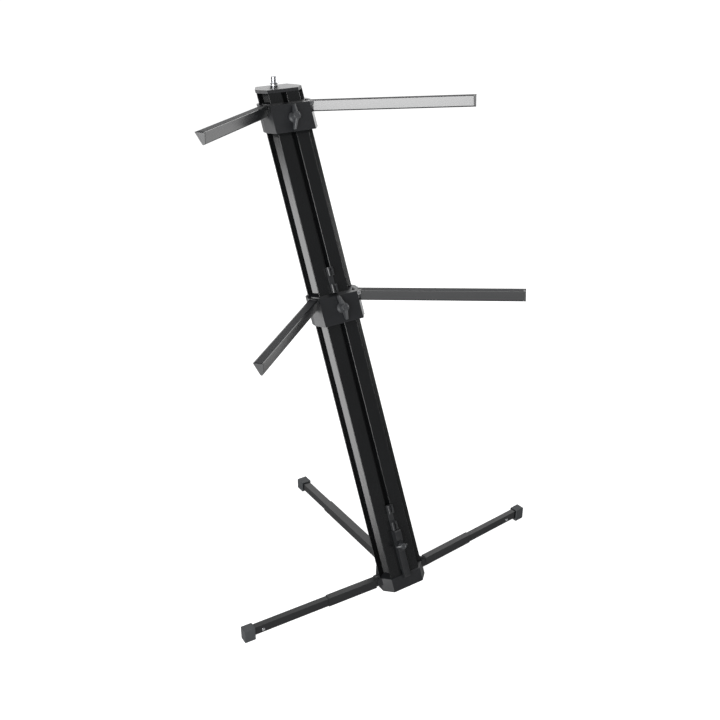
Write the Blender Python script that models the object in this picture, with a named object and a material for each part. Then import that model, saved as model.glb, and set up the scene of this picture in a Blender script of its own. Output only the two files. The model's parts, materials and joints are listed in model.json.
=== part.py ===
"""Column keyboard stand: a leaning extruded column on a three-legged base, with two sliding carriages
that carry two arms each, cable clips, a lock bar and a threaded stud on the cap.

Lengths are in millimetres and are turned into metres where a mesh is made. The column frame has x to
the right, b straight back through the column and s along it, with b = s = 0 where its front meets the
floor.
"""
import math

import bmesh
import bpy
from mathutils import Matrix, Vector

MM = 0.001
WELD = 0.00001
ROUND_STEPS = 24
SMALL_STEPS = 16

# Stance
LEAN = math.radians(26.468)
ORIGIN_BACK = 30.0
GAP = 0.3

# Column section
FACE_HALF = 43.5
LIP_HALF = 64.6
LIP_BACK = 17.3
SHELL = 3.0
SLOT_HALF = 7.5
SLOT_LIP = 2.5
DRAFT = 0.2
SLOT_CAVITY_HALF = 15.0
SLOT_CAVITY_BACK = 12.5
SIDE_HALF = 38.0
COLUMN_BACK = 58.0
REAR_CHANNEL_HALF = 14.0
REAR_CHANNEL_FLOOR = 32.0

# Base block and cap
BLOCK_TOP = 30.5
BLOCK_PROUD = 3.4
BLOCK_FRONT_HALF = 44.45
BLOCK_SIDE_HALF = 65.65
SPIGOT = 14.0
CAP_TOP = 1163.7
CAP_RIM = 7.7
STUD_BACK = 46.0
STUD_PEG = 5.8
STUD_TOP = 24.6
STUD_THREAD_R = 7.25
STUD_FLANGE_R = 14.3
STUD_FLANGE_TOP = 10.0
STUD_COLLAR_R = 9.8
STUD_FLANGE_THICK = 1.4
STUD_TIP = 1.2
STUD_PEG_DEEP = 7.0

# Carriages
CARRIAGE_PROUD = 16.5
CARRIAGE_FRONT_HALF = 56.3
CHAMFER_OUT = 17.3
CHAMFER_BACK = 19.5
CARRIAGE_HIGH = 63.0
CAP_TO_CARRIAGE = 30.5
TIER_STEP = 439.0
UPPER_CARRIAGE = (CAP_TOP - CAP_TO_CARRIAGE - CARRIAGE_HIGH, CAP_TOP - CAP_TO_CARRIAGE)
LOWER_CARRIAGE = (UPPER_CARRIAGE[0] - TIER_STEP, UPPER_CARRIAGE[1] - TIER_STEP)
UPPER_KNOB_DOWN = 32.0
LOWER_KNOB_DOWN = 29.0
SCREW_R = 3.9
NUT_HALF = 14.2
SLOT_NECK_HALF = 7.2
NUT_THICK = 7.0
NUT_LONG = 50.0
THROUGH = 40.0

# Arms
ARM_DROP = math.radians(14.4)
ARM_WIDE = 22.0
ARM_BROW = 0.5
ARM_DEEP = 26.8
ARM_RIDGE_R = 3.5
ARM_WALL = 2.0
UPPER_ARM = 416.5
LOWER_ARM = 424.0
ARM_ROOT = 9.0
ARM_PLUG = 34.0
ARM_CAP = 5.0
EAR = 2.1
EAR_R = 5.2
PIVOT_OUT = 4.0
PIVOT_DOWN = 6.0
KNUCKLE_R = 13.9
NOTCH_DEEP = 13.4
PIN_R = 2.2
HOLE_R = 2.5
STRIP_DEEP = 1.2
STRIP_PROUD = 0.5
STRIP_EDGE = 2.2
TOP_UNDER = 0.3
CAP_PLUG = 14.0
HOLE_PAST = 6.0

# Side legs
LEG_FRONT = 23.5
LEG_WIDE = 17.6
LEG_HIGH = 25.1
LEG_BOTTOM = 8.6
LEFT_SWEEP = math.radians(2.5)
RIGHT_SWEEP = math.radians(5.2)
LEFT_STEP = 218.0
RIGHT_STEP = 240.0
LEG_WALL = 1.2
LEG_PIVOT = 71.6
LEG_PIVOT_UP = 8.5
LEG_LUG_R = 6.8
LEG_KNUCKLE_R = 6.1
HEEL_IN = 4.7
HEEL_OUT = 7.8
HEEL_DOWN = 19.0
LEG_TONGUE = 12.0
LEG_LUG = 3.5
LEG_TUBE_START = 80.3
LEG_COLLAR = 1.2
LEG_PLUG_END = 103.0
INNER_START = 152.0
INNER_END = 440.0
FOOT_START = 419.5
FOOT_END = 447.5
FOOT_WIDE = 23.5
FOOT_TOP = 34.6
LEFT_RIVET = 397.0
RIGHT_RIVET = 385.0
RIVET_Z = 18.5
RIVET_R = 4.25
RIVET_PROUD = 1.8
RIVET_DEEP = 5.0

# Rear leg
REAR_WIDE = 24.5
REAR_HIGH = 22.9
REAR_BOTTOM = 5.0
REAR_PIVOT_B = 45.0
REAR_KNUCKLE_R = 11.0
REAR_TUBE_START = 13.0
REAR_PLUG_END = 43.0
REAR_STEP = 397.0
REAR_INNER_START = 290.0
REAR_FOOT_START = 518.0
REAR_END = 547.0
REAR_ROOT_HALF = (11.9, 10.9)
REAR_FOOT_HALF = 14.5
REAR_FOOT_TOP = 30.0
REAR_PIN_HALF = 27.0
FOOT_FLOOR = 7.0

# Lock bar and clips
BAR_HALF = 9.5
BAR_LOW = 25.0
BAR_TOP = 150.0
BAR_KNOB_S = 109.0
BAR_KNOB_PROUD = 14.0
BAR_TRAVEL = 12.0
TONGUE = (26.0, 70.0)
TONGUE_HALF = 6.0
TONGUE_FRONT = 3.2
TONGUE_BACK = 9.2
LOWER_CLIP_S = BAR_TOP + 0.6
UPPER_CLIP_UP = 41.0
CLIP_LONG = 66.0
CLIP_JAW = 22.0
CLIP_FOOT = (-2.2, 6.8)
BAR_FOOT = (-1.5, 9.6)
BAR_FOOT_SPAN = (62.0, 146.0)

# Wing knobs
KNOB_HIGH = 25.0
KNOB_HUB_R = 8.0
KNOB_BASE_R = 13.5
KNOB_WING = 32.5
KNOB_THICK = 8.0
KNOB_SCREW = 25.0
UPPER_WING_TURN = math.radians(-13.0)
LOWER_WING_TURN = math.radians(7.5)
LOCK_WING_TURN = math.radians(85.0)
LOCK_KNOB_HIGH = 17.0
LOCK_HUB_R = 5.6
LOCK_BASE_R = 8.2
LOCK_WING = 16.5
LOCK_THICK = 6.5
LOCK_SCREW = 22.0
WING_TIP = 3.0

SIN, COS = math.sin(LEAN), math.cos(LEAN)
WORLD = Matrix.Translation((0.0, -ORIGIN_BACK * MM, 0.0))
COLUMN = WORLD @ Matrix.Rotation(-LEAN, 4, 'X')

for old in list(bpy.data.objects):
    bpy.data.objects.remove(old)
stand = bpy.data.collections.new("column_keyboard_stand")
bpy.context.scene.collection.children.link(stand)


def material(name, colour, roughness, metallic):
    """A plain Principled material."""
    made = bpy.data.materials.new(name)
    made.use_nodes = True
    shader = made.node_tree.nodes["Principled BSDF"]
    shader.inputs["Base Color"].default_value = (*colour, 1.0)
    shader.inputs["Roughness"].default_value = roughness
    shader.inputs["Metallic"].default_value = metallic
    return made


ANODISED = material("black_anodised", (0.016, 0.017, 0.018), 0.42, 0.6)
CAST = material("grey_cast", (0.07, 0.072, 0.078), 0.4, 0.5)
PLASTIC = material("black_plastic", (0.03, 0.03, 0.032), 0.45, 0.0)
PALE = material("pale_plastic", (0.35, 0.35, 0.36), 0.5, 0.0)
RUBBER = material("dark_rubber", (0.05, 0.05, 0.052), 0.8, 0.0)
STEEL = material("bright_steel", (0.7, 0.7, 0.72), 0.2, 1.0)
LEG_PAINT = material("leg_paint", (0.055, 0.057, 0.06), 0.4, 0.3)


def offset_path(points, gap, closed=False):
    """The outline moved to its right-hand side by gap, with mitred corners."""
    count = len(points)
    moved = []
    for i, point in enumerate(points):
        here = Vector(point)
        before = Vector(points[i - 1]) if closed or i > 0 else None
        after = Vector(points[(i + 1) % count]) if closed or i < count - 1 else None
        sides = []
        if before is not None:
            sides.append((here - before).normalized())
        if after is not None:
            sides.append((after - here).normalized())
        normals = [Vector((d.y, -d.x)) for d in sides]
        if len(normals) == 2:
            mid = (normals[0] + normals[1]).normalized()
            step = mid * (gap / max(mid.dot(normals[0]), 0.3))
        else:
            step = normals[0] * gap
        moved.append(tuple(here + step))
    return moved


def mirrored_outline(half):
    """A closed outline from its right half; points on the middle line are left out."""
    right = [(x, y) for x, y in half if abs(x) > 0.001]
    return right + [(-x, y) for x, y in reversed(right)]


def arc(centre, radius, start, end, steps):
    """Points round an arc, both ends included, angles in degrees."""
    points = []
    for i in range(steps + 1):
        angle = math.radians(start + (end - start) * i / steps)
        points.append((centre[0] + radius * math.cos(angle), centre[1] + radius * math.sin(angle)))
    return points


def prism(outlines, low, high):
    """Closed outlines filled in the XY plane and stood between two heights."""
    curve = bpy.data.curves.new("outline", 'CURVE')
    curve.dimensions = '2D'
    curve.fill_mode = 'BOTH'
    curve.extrude = (high - low) / 2 * MM
    for points in outlines:
        spline = curve.splines.new('POLY')
        spline.points.add(len(points) - 1)
        for slot, (x, y) in zip(spline.points, points):
            slot.co = (x * MM, y * MM, 0.0, 1.0)
        spline.use_cyclic_u = True
    holder = bpy.data.objects.new("outline", curve)
    mesh = bpy.data.meshes.new_from_object(holder)
    bpy.data.objects.remove(holder)
    bm = bmesh.new()
    bm.from_mesh(mesh)
    bpy.data.meshes.remove(mesh)
    bmesh.ops.remove_doubles(bm, verts=bm.verts, dist=WELD)
    bmesh.ops.translate(bm, vec=(0, 0, (high + low) / 2 * MM), verts=bm.verts)
    return bm


def level_prism(outlines, z_low, z_high):
    """Outlines of the column section run along the column between two level planes."""
    bm = prism(outlines, 0.0, 1.0)
    for vertex in bm.verts:
        level = z_high if vertex.co.z > 0.5 * MM else z_low
        vertex.co.z = (level * MM + vertex.co.y * SIN) / COS
    return bm


def box(x, y, z):
    """A box between the given pairs of limits."""
    bm = bmesh.new()
    bmesh.ops.create_cube(bm, size=MM)
    size = Matrix.Diagonal((x[1] - x[0], y[1] - y[0], z[1] - z[0], 1.0))
    centre = Vector((sum(x) / 2, sum(y) / 2, sum(z) / 2)) * MM
    bmesh.ops.transform(bm, matrix=Matrix.Translation(centre) @ size, verts=bm.verts)
    return bm


def rod(radius, low, high, steps=SMALL_STEPS):
    """A closed cylinder along Z."""
    bm = bmesh.new()
    bmesh.ops.create_cone(bm, cap_ends=True, segments=steps, radius1=radius * MM, radius2=radius * MM,
                          depth=(high - low) * MM)
    bmesh.ops.translate(bm, vec=(0, 0, (high + low) / 2 * MM), verts=bm.verts)
    return bm


def turned(profile, steps=ROUND_STEPS):
    """A profile of (radius, height), top to bottom, spun about Z."""
    bm = bmesh.new()
    verts = [bm.verts.new((r * MM, 0.0, z * MM)) for r, z in profile]
    edges = [bm.edges.new(pair) for pair in zip(verts, verts[1:])]
    bmesh.ops.spin(bm, geom=verts + edges, cent=(0, 0, 0), axis=(0, 0, 1), angle=2 * math.pi,
                   steps=steps, use_merge=True)
    bmesh.ops.remove_doubles(bm, verts=bm.verts, dist=WELD)
    return bm


def axes(origin, x_axis, y_axis, z_axis):
    """A frame from an origin in millimetres and three unit axes."""
    frame = Matrix.Identity(4)
    for column, axis in enumerate((x_axis, y_axis, z_axis)):
        for row in range(3):
            frame[row][column] = axis[row]
    for row in range(3):
        frame[row][3] = origin[row] * MM
    return frame


def solid(bm, frame):
    """A loose object with its mesh in world coordinates."""
    bm.transform(frame)
    bmesh.ops.recalc_face_normals(bm, faces=bm.faces)
    if bm.calc_volume(signed=True) < 0:
        bmesh.ops.reverse_faces(bm, faces=bm.faces)
    mesh = bpy.data.meshes.new("solid")
    bm.to_mesh(mesh)
    bm.free()
    made = bpy.data.objects.new("solid", mesh)
    stand.objects.link(made)
    return made


def worked(target, tool, operation):
    """The target with the tool joined to it or cut from it."""
    step = target.modifiers.new("tool", 'BOOLEAN')
    step.operation = operation
    step.solver = 'EXACT'
    step.object = tool
    depsgraph = bpy.context.evaluated_depsgraph_get()
    mesh = bpy.data.meshes.new_from_object(target.evaluated_get(depsgraph))
    target.modifiers.clear()
    target.data = mesh
    bpy.data.objects.remove(tool)
    return target


def joined(target, *tools):
    """The target with every tool joined to it."""
    for tool in tools:
        worked(target, tool, 'UNION')
    return target


def cut(target, *tools):
    """The target with every tool cut from it."""
    for tool in tools:
        worked(target, tool, 'DIFFERENCE')
    return target


def flipped(target):
    """The target mirrored to the left side."""
    bm = bmesh.new()
    bm.from_mesh(target.data)
    bm.transform(Matrix.Scale(-1.0, 4, Vector((1, 0, 0))))
    bmesh.ops.reverse_faces(bm, faces=bm.faces)
    bm.to_mesh(target.data)
    bm.free()
    return target


def finish(name, target, look, pivot=None, left=False):
    """Names a piece, gives its material and puts its origin on the pivot."""
    if left:
        flipped(target)
    origin = Vector(pivot) if pivot is not None else Vector((0, 0, 0))
    if left:
        origin.x = -origin.x
    target.data.transform(Matrix.Translation(-origin))
    target.location = origin
    target.name = name
    target.data.name = name
    target.data.materials.clear()
    target.data.materials.append(look)
    target.data.set_sharp_from_angle(angle=math.radians(30))
    return target


def column_point(x, b, s):
    """A place in the column frame as world metres."""
    return COLUMN @ (Vector((x, b, s)) * MM)


def s_at(z, b):
    """The distance along the column at which the line at depth b reaches height z."""
    return (z + b * SIN) / COS


# Column section outlines
LIP_UNDER = (LIP_HALF, LIP_BACK + 3.2)
COLUMN_SIDE = [(SLOT_HALF, 0.0), (FACE_HALF, 0.0), (FACE_HALF, 1.5), (36.5, 3.5), (33.8, 19.3),
               (45.7, 27.1), (LIP_HALF, LIP_BACK), LIP_UNDER, (47.0, 30.5), (SIDE_HALF, 30.5),
               (SIDE_HALF, COLUMN_BACK), (REAR_CHANNEL_HALF, COLUMN_BACK),
               (REAR_CHANNEL_HALF, REAR_CHANNEL_FLOOR)]
FRONT_SLOT = [(-SLOT_HALF, 0.0), (-SLOT_HALF, SLOT_LIP), (-SLOT_CAVITY_HALF, SLOT_LIP + DRAFT),
              (-SLOT_CAVITY_HALF, SLOT_CAVITY_BACK), (SLOT_CAVITY_HALF, SLOT_CAVITY_BACK),
              (SLOT_CAVITY_HALF, SLOT_LIP + DRAFT), (SLOT_HALF, SLOT_LIP)]
CHAMBER = [(18.0, SHELL), (33.2, SHELL), (30.9, 20.5), (35.2, 23.5), (35.2, 55.2), (16.8, 55.2),
           (16.8, 15.3), (18.0, 15.3)]
MIDDLE_CHAMBER = [(-14.0, 15.3), (14.0, 15.3), (14.0, 29.2), (-14.0, 29.2)]
column_outline = mirrored_outline(COLUMN_SIDE) + FRONT_SLOT[1:]
left_chamber = [(-x, b) for x, b in reversed(CHAMBER)]
spigots = (offset_path(CHAMBER, -GAP, True), offset_path(left_chamber, -GAP, True))

# Column
column_low = BLOCK_TOP + GAP
column_high = CAP_TOP - CAP_RIM - GAP
column = solid(level_prism([column_outline, CHAMBER, left_chamber, MIDDLE_CHAMBER], column_low,
                           column_high), COLUMN)
finish("column", column, ANODISED)

# Cap and stud
CAP_HALF = [(0.0, 0.0), (FACE_HALF, 0.0), (LIP_HALF, LIP_BACK), (LIP_HALF, 24.0), (46.0, 53.0),
            (0.0, 53.0)]
cap = solid(level_prism([mirrored_outline(CAP_HALF)], CAP_TOP - CAP_RIM, CAP_TOP), COLUMN)
for outline in spigots:
    joined(cap, solid(level_prism([outline], CAP_TOP - CAP_RIM - SPIGOT, CAP_TOP - 3.0), COLUMN))
stud_y = CAP_TOP * math.tan(LEAN) + STUD_BACK
STUD = WORLD @ Matrix.Translation(Vector((0.0, stud_y, CAP_TOP)) * MM)
cut(cap, solid(rod(STUD_PEG + GAP, -THROUGH, THROUGH), STUD))
finish("top_cap", cap, CAST)
STUD_PROFILE = [(0.0, STUD_TOP), (STUD_THREAD_R - STUD_TIP, STUD_TOP), (STUD_THREAD_R, STUD_TOP - STUD_TIP),
                (STUD_THREAD_R, STUD_FLANGE_TOP + 0.5), (STUD_FLANGE_R, STUD_FLANGE_TOP),
                (STUD_FLANGE_R, STUD_FLANGE_TOP - STUD_FLANGE_THICK), (STUD_COLLAR_R, STUD_FLANGE_TOP - 2.2),
                (STUD_COLLAR_R, GAP), (STUD_PEG, GAP), (STUD_PEG, -STUD_PEG_DEEP), (0.0, -STUD_PEG_DEEP)]
finish("mic_stud", solid(turned(STUD_PROFILE), STUD), STEEL)


# Carriages and arms
RUN_GAP = 0.35
RUN_WALL = offset_path([(0.0, 0.0), (FACE_HALF, 0.0), (FACE_HALF, 1.5), (36.5, 3.5), (33.8, 19.3),
                        (45.7, 27.1), (LIP_HALF, LIP_BACK), LIP_UNDER, (54.0, 26.52)], RUN_GAP)
SIDE_CORNER = (CARRIAGE_FRONT_HALF + CHAMFER_OUT, -CARRIAGE_PROUD + CHAMFER_BACK)
CARRIAGE_HALF = RUN_WALL + [(55.7, 29.6), (70.5, 21.2), (SIDE_CORNER[0], 16.5), SIDE_CORNER,
                            (CARRIAGE_FRONT_HALF, -CARRIAGE_PROUD), (0.0, -CARRIAGE_PROUD)]

column_axes = COLUMN.to_3x3()
along_column = column_axes @ Vector((0, 0, 1))
edge = (column_axes @ Vector((CHAMFER_OUT, CHAMFER_BACK, 0))).normalized()
outward = edge.cross(along_column)
if outward.x < 0:
    outward = -outward
arm_way = (outward * math.cos(ARM_DROP) - along_column * math.sin(ARM_DROP)).normalized()
arm_level = Vector((0, 0, 1)).cross(arm_way).normalized()
arm_up = arm_way.cross(arm_level)


def arm_corner(z_top):
    """Where the near top ridge of an arm starts, in millimetres in the world frame."""
    level = z_top - TOP_UNDER
    front = column_point(CARRIAGE_FRONT_HALF, -CARRIAGE_PROUD, s_at(level, -CARRIAGE_PROUD)) / MM
    start = front + edge * (EAR + GAP)
    return start + along_column * ((level - start.z) / along_column.z)


def arm_pivot(z_top):
    """The pin line of an arm, where it passes the near face."""
    return arm_corner(z_top) + outward * PIVOT_OUT - along_column * PIVOT_DOWN


edge_span = arm_level.dot(edge) * ARM_WIDE - arm_up.dot(edge) * ARM_BROW


def arm_outline(inset):
    """The arm section in level and upright coordinates, moved in by the given wall."""
    centre = (ARM_RIDGE_R, -ARM_DEEP + ARM_RIDGE_R)
    corner = (ARM_WIDE, -ARM_BROW)
    reach = Vector((corner[0] - centre[0], corner[1] - centre[1]))
    last = math.degrees(math.atan2(reach.y, reach.x) - math.acos(ARM_RIDGE_R / reach.length))
    ridge = arc(centre, ARM_RIDGE_R, -180.0, last, 6)
    top = [corner, (ARM_WIDE, 0.0), (ARM_WIDE - STRIP_EDGE, 0.0),
           (ARM_WIDE - STRIP_EDGE, -STRIP_DEEP), (STRIP_EDGE, -STRIP_DEEP), (STRIP_EDGE, 0.0), (0.0, 0.0)]
    if inset == 0.0:
        return ridge + top
    plain = ridge + [(ARM_WIDE, -STRIP_DEEP), (0.0, -STRIP_DEEP)]
    return offset_path(plain, -inset, True)


def hinge_rod(pivot, direction, radius, low, high, steps=SMALL_STEPS):
    """A cylinder about a hinge line."""
    spin = direction.to_track_quat('Z', 'Y').to_matrix().to_4x4()
    return solid(rod(radius, low, high, steps), Matrix.Translation(pivot * MM) @ spin)


def build_carriage(label, levels, knob_s):
    """A carriage with the ears of its two arms, its clamp nut and its wing knob."""
    z_low, z_top = levels
    body = solid(level_prism([mirrored_outline(CARRIAGE_HALF)], z_low, z_top), COLUMN)
    pivot = arm_pivot(z_top)
    ear_frame = axes(pivot, outward, along_column, outward.cross(along_column))
    turn = 1.0 if outward.cross(along_column).dot(edge) > 0 else -1.0
    lug = arc((0.0, 0.0), EAR_R, -90.0, 90.0, 8) + [(-PIVOT_OUT - 2.0, EAR_R), (-PIVOT_OUT - 2.0, -EAR_R)]
    for left in (False, True):
        parts = []
        for start in (-EAR - GAP, edge_span + GAP):
            span = sorted((turn * start, turn * (start + EAR)))
            parts.append(solid(prism([lug], *span), ear_frame))
        pocket = hinge_rod(pivot, edge, KNUCKLE_R + 0.4, -GAP, edge_span + GAP, 32)
        keep_out = solid(box((-PIVOT_OUT, 40.0), (-40.0, 40.0), sorted((turn * -4.0, turn * 30.0))),
                         ear_frame)
        cut(pocket, keep_out)
        across = sorted((turn * (-GAP - 0.05), turn * (edge_span + GAP + 0.05)))
        notch = solid(box((-PIVOT_OUT - NOTCH_DEEP, -PIVOT_OUT + 1.0), (0.0, 30.0), across), ear_frame)
        hole = hinge_rod(pivot, edge, HOLE_R, -HOLE_PAST, edge_span + HOLE_PAST)
        for piece in parts + [pocket, notch, hole]:
            if left:
                flipped(piece)
        cut(body, pocket, notch)
        joined(body, *parts)
        cut(body, hole)
    face = COLUMN @ Matrix.Translation(Vector((0, 0, knob_s)) * MM) @ Matrix.Rotation(math.pi / 2, 4, 'X')
    cut(body, solid(rod(SCREW_R + 0.4, -10.0, THROUGH), face))
    finish(label + "_carriage", body, CAST, column_point(0, -CARRIAGE_PROUD, knob_s))
    nut_back = SLOT_LIP + GAP
    nut = solid(box((-NUT_HALF, NUT_HALF), (nut_back, nut_back + NUT_THICK),
                    (knob_s - NUT_LONG / 2, knob_s + NUT_LONG / 2)), COLUMN)
    cut(nut, solid(rod(SCREW_R + GAP, -20.0, 10.0), face))
    finish(label + "_clamp_nut", nut, STEEL, column_point(0, nut_back, knob_s))


def build_knob(name, s, proud, tilt, size, screw_depth):
    """A wing knob with its screw, standing on a face of the column frame; size is its height, hub radius,
    base radius, half length over the wings and wing thickness."""
    high, hub_r, base_r, wing, thick = size
    face = (COLUMN @ Matrix.Translation(Vector((0, -proud, s)) * MM) @ Matrix.Rotation(math.pi / 2, 4, 'X')
            @ Matrix.Rotation(tilt, 4, 'Z'))
    hub = solid(turned([(0.0, high), (hub_r - 1.5, high), (hub_r, high - 1.5), (base_r - 2.0, 5.2),
                        (base_r, 3.8), (base_r, GAP), (0.0, GAP)]), face)
    side = [(wing - WING_TIP, WING_TIP), (wing, WING_TIP + 2.5), (wing, high * 0.4),
            (wing - WING_TIP, high * 0.5), (hub_r - 1.0, high - 0.6)]
    blade = side + [(-w, h) for w, h in reversed(side)]
    upright = face @ axes((0, 0, 0), (0, 1, 0), (0, 0, 1), (1, 0, 0))
    joined(hub, solid(prism([blade], -thick / 2, thick / 2), upright))
    joined(hub, solid(rod(SCREW_R, -screw_depth, 6.0), face))
    finish(name, hub, PLASTIC, column_point(0, -proud, s))


def build_arm(label, z_top, length, left):
    """One arm: tube, hinge root, pin, top strip and end cap."""
    side = "_left_arm" if left else "_right_arm"
    corner = arm_corner(z_top)
    pivot = arm_pivot(z_top)
    frame = axes(corner, arm_level, arm_up, arm_way)
    outer = arm_outline(0.0)
    inner = arm_outline(ARM_WALL)
    plug = arm_outline(ARM_WALL + GAP)
    joint = pivot * MM
    tube = solid(prism([outer, inner], ARM_ROOT, length - ARM_CAP - GAP), frame)
    finish(label + side + "_tube", tube, ANODISED, joint, left)
    root_bm = prism([outer], 0.0, ARM_ROOT - GAP)
    for vertex in root_bm.verts:
        if vertex.co.z < MM:
            place = arm_level * vertex.co.x + arm_up * vertex.co.y
            vertex.co.z = (GAP * MM - place.dot(outward)) / math.cos(ARM_DROP)
    root = solid(root_bm, frame)
    joined(root, solid(prism([plug], ARM_ROOT - 1.3, ARM_PLUG), frame))
    knuckle = hinge_rod(pivot, edge, KNUCKLE_R, 0.0, edge_span, 32)
    ear_frame = axes(pivot, outward, along_column, outward.cross(along_column))
    cut(knuckle, solid(box((-PIVOT_OUT + 1.0, 40.0), (-40.0, 40.0), (-60.0, 60.0)), ear_frame))
    cut(knuckle, solid(box((-60.0, 60.0), (-60.0, 60.0), (0.0, 60.0)),
                       Matrix.Translation(Vector((pivot.x, pivot.y, z_top - TOP_UNDER)) * MM)))
    joined(root, knuckle)
    cut(root, hinge_rod(pivot, edge, HOLE_R, -HOLE_PAST, edge_span + HOLE_PAST))
    finish(label + side + "_root", root, CAST, joint, left)
    pin = hinge_rod(pivot, edge, PIN_R, -EAR - GAP, edge_span + EAR + GAP)
    finish(label + side + "_pin", pin, STEEL, joint, left)
    strip = solid(box((STRIP_EDGE + GAP, ARM_WIDE - STRIP_EDGE - GAP), (-STRIP_DEEP + GAP, STRIP_PROUD),
                      (ARM_ROOT + 1.0, length - ARM_CAP - 1.0)), frame)
    finish(label + side + "_strip", strip, RUBBER, joint, left)
    end = solid(prism([outer], length - ARM_CAP, length), frame)
    joined(end, solid(prism([plug], length - ARM_CAP - CAP_PLUG, length - ARM_WALL), frame))
    finish(label + side + "_cap", end, PALE, joint, left)


UPPER_KNOB_S = s_at(UPPER_CARRIAGE[1] - UPPER_KNOB_DOWN, -CARRIAGE_PROUD)
LOWER_KNOB_S = s_at(LOWER_CARRIAGE[1] - LOWER_KNOB_DOWN, -CARRIAGE_PROUD)
UPPER_CLIP_S = LOWER_KNOB_S + UPPER_CLIP_UP
build_carriage("upper", UPPER_CARRIAGE, UPPER_KNOB_S)
build_carriage("lower", LOWER_CARRIAGE, LOWER_KNOB_S)
KNOB_SIZE = (KNOB_HIGH, KNOB_HUB_R, KNOB_BASE_R, KNOB_WING, KNOB_THICK)
build_knob("upper_wing_knob", UPPER_KNOB_S, CARRIAGE_PROUD, UPPER_WING_TURN, KNOB_SIZE, KNOB_SCREW)
build_knob("lower_wing_knob", LOWER_KNOB_S, CARRIAGE_PROUD, LOWER_WING_TURN, KNOB_SIZE, KNOB_SCREW)
for is_left in (False, True):
    build_arm("upper", UPPER_CARRIAGE[1], UPPER_ARM, is_left)
    build_arm("lower", LOWER_CARRIAGE[1], LOWER_ARM, is_left)


def slot_foot(front, back):
    """The section of a foot held in the front slot, from its neck to its back."""
    shoulder = SLOT_LIP + GAP
    half = [(NUT_HALF, back), (NUT_HALF, shoulder + DRAFT), (SLOT_NECK_HALF, shoulder),
            (SLOT_NECK_HALF, front)]
    return mirrored_outline(half)


# Cable clips
def build_clip(name, low):
    """A clip of two open jaws on a foot that is held in the slot."""
    foot = slot_foot(*CLIP_FOOT)
    jaw = [(-6.8, -0.4), (-8.0, -1.8), (-8.0, -10.6), (-6.4, -12.4), (-2.4, -12.6), (-2.4, -10.8),
           (-5.4, -10.5), (-6.2, -9.6), (-6.2, -4.1), (-5.4, -3.3), (5.4, -3.3), (6.2, -4.1),
           (6.2, -9.6), (5.4, -10.5), (2.4, -10.8), (2.4, -12.6), (6.4, -12.4), (8.0, -10.6),
           (8.0, -1.8), (6.8, -0.4)]
    body = solid(prism([foot], low + 0.6, low + CLIP_LONG - 0.6), COLUMN)
    for start in (low, low + CLIP_LONG - CLIP_JAW):
        joined(body, solid(prism([jaw], start, start + CLIP_JAW), COLUMN))
    finish(name, body, PLASTIC, column_point(0, 0, low + CLIP_LONG / 2))


build_clip("lower_cable_clip", LOWER_CLIP_S)
build_clip("upper_cable_clip", UPPER_CLIP_S)

# Lock bar: slides in the slot, its tongue enters the base block
BAR_FRAME = COLUMN @ axes((0, 0, 0), (0, 1, 0), (0, 0, 1), (1, 0, 0))
bar_over = -BLOCK_PROUD - GAP - 0.1
bar_clear = s_at(BLOCK_TOP, 0.0) + BAR_TRAVEL + 1.0
bar_profile = [(bar_over, BAR_LOW), (-9.0, BAR_LOW), (-11.0, BAR_LOW + 3.0), (-11.5, 94.0),
               (-BAR_KNOB_PROUD, 97.0), (-BAR_KNOB_PROUD, 121.0), (-17.0, 124.0), (-17.5, BAR_TOP - 3.0),
               (-15.5, BAR_TOP), (-0.4, BAR_TOP), (-0.4, bar_clear), (bar_over, bar_clear)]
bar = solid(prism([bar_profile], -BAR_HALF, BAR_HALF), BAR_FRAME)
joined(bar, solid(prism([slot_foot(*BAR_FOOT)], *BAR_FOOT_SPAN), COLUMN))
joined(bar, solid(box((-TONGUE_HALF, TONGUE_HALF), (TONGUE_FRONT, TONGUE_BACK), TONGUE), COLUMN))
bar_face = COLUMN @ Matrix.Translation(Vector((0, 0, BAR_KNOB_S)) * MM) @ Matrix.Rotation(math.pi / 2, 4, 'X')
cut(bar, solid(rod(SCREW_R + GAP, -THROUGH, THROUGH), bar_face))
finish("lock_bar", bar, CAST, column_point(0, 0, BAR_LOW))
LOCK_KNOB_SIZE = (LOCK_KNOB_HIGH, LOCK_HUB_R, LOCK_BASE_R, LOCK_WING, LOCK_THICK)
build_knob("lock_knob", BAR_KNOB_S, BAR_KNOB_PROUD, LOCK_WING_TURN, LOCK_KNOB_SIZE, LOCK_SCREW)

# Legs
leg_depth = LEG_FRONT + LEG_WIDE / 2
leg_level = LEG_BOTTOM + LEG_HIGH / 2


def leg_axes(sweep):
    """The way out of a right-hand leg, its level back direction and its hinge line."""
    out = Vector((math.cos(sweep), math.sin(sweep), 0))
    back = Vector((-math.sin(sweep), math.cos(sweep), 0))
    rise = (along_column - out * along_column.dot(out)).normalized()
    start = Vector((0, leg_depth - ORIGIN_BACK, leg_level))
    return out, back, rise, out.cross(rise), start + out * LEG_PIVOT + rise * LEG_PIVOT_UP, start


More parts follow.
